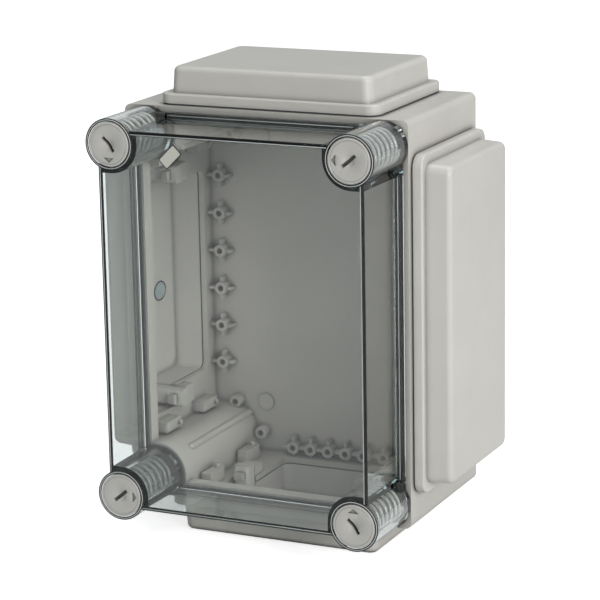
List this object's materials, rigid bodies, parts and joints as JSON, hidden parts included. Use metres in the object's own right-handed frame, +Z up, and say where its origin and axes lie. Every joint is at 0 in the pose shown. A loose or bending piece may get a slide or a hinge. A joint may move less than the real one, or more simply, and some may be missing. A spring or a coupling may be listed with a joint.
{
  "type": "insulated enclosure",
  "caption": "Wall-mounted insulated enclosure with a clear hood on quarter-turn bolts and raised blanking plates wedged over the windows in its sides.",
  "frame": {"origin": "middle of the underside of the lower blanking plate", "axes": "+X to the right seen from the front, +Y from the hood to the wall behind, +Z up"},
  "size_m": [0.2336, 0.16, 0.296],
  "materials": {
    "box_plastic": "fine satin moulded light grey",
    "plate_plastic": "fine satin moulded light grey",
    "clear_hood": "clear smoke-tinted moulded plastic",
    "gasket": "matt dark foam rubber",
    "plate_seal": "matt dark rubber",
    "bolt_plastic": "satin moulded light grey",
    "spring_plastic": "satin moulded grey",
    "wedge_plastic": "satin moulded light grey",
    "tag": "blank white label"
  },
  "bodies": {
    "box": {"tub": "box_plastic", "cover_gasket": "gasket", "plate_top": "plate_plastic", "plate_left": "plate_plastic", "plate_bottom": "plate_plastic", "plate_right": "plate_plastic", "plate_seal_top": "plate_seal", "plate_seal_left": "plate_seal", "plate_seal_bottom": "plate_seal", "plate_seal_right": "plate_seal", "wedge_top_1": "wedge_plastic", "wedge_top_2": "wedge_plastic", "wedge_left_1": "wedge_plastic", "wedge_left_2": "wedge_plastic", "wedge_bottom_1": "wedge_plastic", "wedge_bottom_2": "wedge_plastic", "wedge_right_1": "wedge_plastic", "wedge_right_2": "wedge_plastic"},
    "hood": {"cover": "clear_hood", "spring_top_left": "spring_plastic", "spring_top_right": "spring_plastic", "spring_bottom_left": "spring_plastic", "spring_bottom_right": "spring_plastic", "blank_tag": "tag"},
    "bolt_tl": {"bolt_top_left": "bolt_plastic"},
    "bolt_tr": {"bolt_top_right": "bolt_plastic"},
    "bolt_bl": {"bolt_bottom_left": "bolt_plastic"},
    "bolt_br": {"bolt_bottom_right": "bolt_plastic"}
  },
  "joints": [
    {"name": "hood_lift", "type": "slide", "parent": "box", "child": "hood", "axis": [0, -1, 0], "range_m": [0, 0.07]},
    {"name": "bolt_tl_turn", "type": "hinge", "parent": "hood", "child": "bolt_tl", "pos_m": [-0.078, -0.08, 0.25725], "axis": [0, 1, 0], "range_deg": [0, 90]},
    {"name": "bolt_tr_turn", "type": "hinge", "parent": "hood", "child": "bolt_tr", "pos_m": [0.078, -0.08, 0.25725], "axis": [0, 1, 0], "range_deg": [0, 90]},
    {"name": "bolt_bl_turn", "type": "hinge", "parent": "hood", "child": "bolt_bl", "pos_m": [-0.078, -0.08, 0.03875], "axis": [0, 1, 0], "range_deg": [0, 90]},
    {"name": "bolt_br_turn", "type": "hinge", "parent": "hood", "child": "bolt_br", "pos_m": [0.078, -0.08, 0.03875], "axis": [0, 1, 0], "range_deg": [0, 90]}
  ]
}
